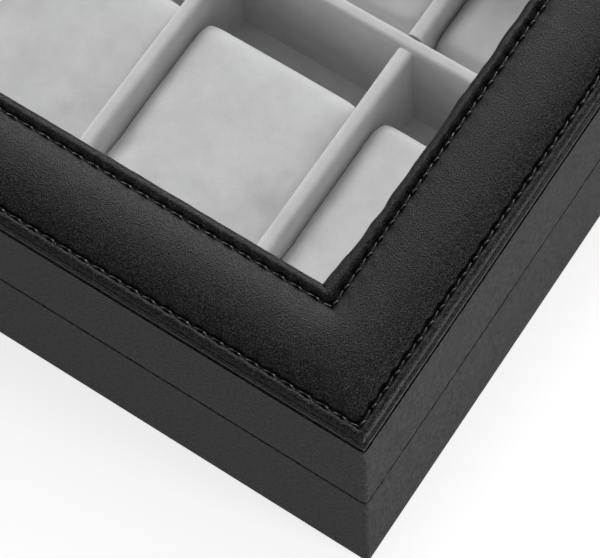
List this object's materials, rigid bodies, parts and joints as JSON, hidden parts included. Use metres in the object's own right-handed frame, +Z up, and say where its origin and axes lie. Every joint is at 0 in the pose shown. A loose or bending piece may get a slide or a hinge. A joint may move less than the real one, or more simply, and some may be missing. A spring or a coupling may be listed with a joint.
{
  "type": "watch box",
  "caption": "Leather-covered watch box with a windowed padded lid on hinges, a cam lock, velvet dividers in two rows and loose cushions.",
  "frame": {"origin": "middle of the underside, on the surface that the box stands on", "axes": "+X to the right along the front, +Y to the hinges at the back, +Z up"},
  "size_m": [0.3, 0.2063, 0.08],
  "materials": {
    "side_leather": "matt fine-grained PU leather, charcoal black",
    "top_leather": "satin fine-grained padded PU leather, black",
    "velvet": "short-pile light grey velvet on card",
    "cushion_velvet": "short-pile light grey velvet",
    "black_felt": "matt felt",
    "board": "raw fibreboard",
    "foam": "soft foam sheet",
    "window_glass": "clear, polished edges",
    "nickel": "satin nickel plate"
  },
  "bodies": {
    "base": {"base_underside_felt": "black_felt", "base_bottom_board": "board", "base_front_wall": "board", "base_front_lining": "velvet", "base_back_wall": "board", "base_back_lining": "velvet", "base_left_wall": "board", "base_left_lining": "velvet", "base_right_wall": "board", "base_right_lining": "velvet", "base_leather_wrap": "side_leather", "base_floor_lining": "velvet", "row_divider": "velvet", "column_divider_1": "velvet", "column_divider_2": "velvet", "column_divider_3": "velvet", "column_divider_4": "velvet", "column_divider_5": "velvet", "hinge_left_base_leaf": "nickel", "hinge_left_pin": "nickel", "hinge_right_base_leaf": "nickel", "hinge_right_pin": "nickel", "hinge_base_screws": "nickel", "lock_case": "nickel", "lock_plate": "nickel", "lock_rivets": "nickel"},
    "lid": {"lid_front_wall": "board", "lid_front_lining": "velvet", "lid_back_wall": "board", "lid_back_lining": "velvet", "lid_left_wall": "board", "lid_left_lining": "velvet", "lid_right_wall": "board", "lid_right_lining": "velvet", "lid_leather_wrap": "side_leather", "lid_glass_ledge": "velvet", "lid_window_glass": "window_glass", "lid_top_board": "board", "lid_foam_ring": "foam", "lid_top_leather": "top_leather", "hinge_left_lid_leaf": "nickel", "hinge_right_lid_leaf": "nickel", "hinge_lid_screws": "nickel", "lock_strike": "nickel", "lock_strike_screws": "nickel"},
    "lock_cylinder": {"lock_cylinder": "nickel"},
    "cushion_front_1": {"cushion_front_1": "cushion_velvet"},
    "cushion_front_2": {"cushion_front_2": "cushion_velvet"},
    "cushion_front_3": {"cushion_front_3": "cushion_velvet"},
    "cushion_front_4": {"cushion_front_4": "cushion_velvet"},
    "cushion_front_5": {"cushion_front_5": "cushion_velvet"},
    "cushion_front_6": {"cushion_front_6": "cushion_velvet"},
    "cushion_back_1": {"cushion_back_1": "cushion_velvet"},
    "cushion_back_2": {"cushion_back_2": "cushion_velvet"},
    "cushion_back_3": {"cushion_back_3": "cushion_velvet"},
    "cushion_back_4": {"cushion_back_4": "cushion_velvet"},
    "cushion_back_5": {"cushion_back_5": "cushion_velvet"},
    "cushion_back_6": {"cushion_back_6": "cushion_velvet"}
  },
  "joints": [
    {"name": "lid_hinge", "type": "hinge", "parent": "base", "child": "lid", "pos_m": [0, 0.1023, 0.0424], "axis": [-1, 0, 0], "range_deg": [0, 95]},
    {"name": "lock_turn", "type": "hinge", "parent": "base", "child": "lock_cylinder", "pos_m": [0, -0.1, 0.031], "axis": [0, 1, 0], "range_deg": [0, 90]},
    {"name": "cushion_front_1_lift", "type": "slide", "parent": "base", "child": "cushion_front_1", "axis": [0, 0, 1], "range_m": [0, 0.034]},
    {"name": "cushion_front_2_lift", "type": "slide", "parent": "base", "child": "cushion_front_2", "axis": [0, 0, 1], "range_m": [0, 0.034]},
    {"name": "cushion_front_3_lift", "type": "slide", "parent": "base", "child": "cushion_front_3", "axis": [0, 0, 1], "range_m": [0, 0.034]},
    {"name": "cushion_front_4_lift", "type": "slide", "parent": "base", "child": "cushion_front_4", "axis": [0, 0, 1], "range_m": [0, 0.034]},
    {"name": "cushion_front_5_lift", "type": "slide", "parent": "base", "child": "cushion_front_5", "axis": [0, 0, 1], "range_m": [0, 0.034]},
    {"name": "cushion_front_6_lift", "type": "slide", "parent": "base", "child": "cushion_front_6", "axis": [0, 0, 1], "range_m": [0, 0.034]},
    {"name": "cushion_back_1_lift", "type": "slide", "parent": "base", "child": "cushion_back_1", "axis": [0, 0, 1], "range_m": [0, 0.034]},
    {"name": "cushion_back_2_lift", "type": "slide", "parent": "base", "child": "cushion_back_2", "axis": [0, 0, 1], "range_m": [0, 0.034]},
    {"name": "cushion_back_3_lift", "type": "slide", "parent": "base", "child": "cushion_back_3", "axis": [0, 0, 1], "range_m": [0, 0.034]},
    {"name": "cushion_back_4_lift", "type": "slide", "parent": "base", "child": "cushion_back_4", "axis": [0, 0, 1], "range_m": [0, 0.034]},
    {"name": "cushion_back_5_lift", "type": "slide", "parent": "base", "child": "cushion_back_5", "axis": [0, 0, 1], "range_m": [0, 0.034]},
    {"name": "cushion_back_6_lift", "type": "slide", "parent": "base", "child": "cushion_back_6", "axis": [0, 0, 1], "range_m": [0, 0.034]}
  ]
}
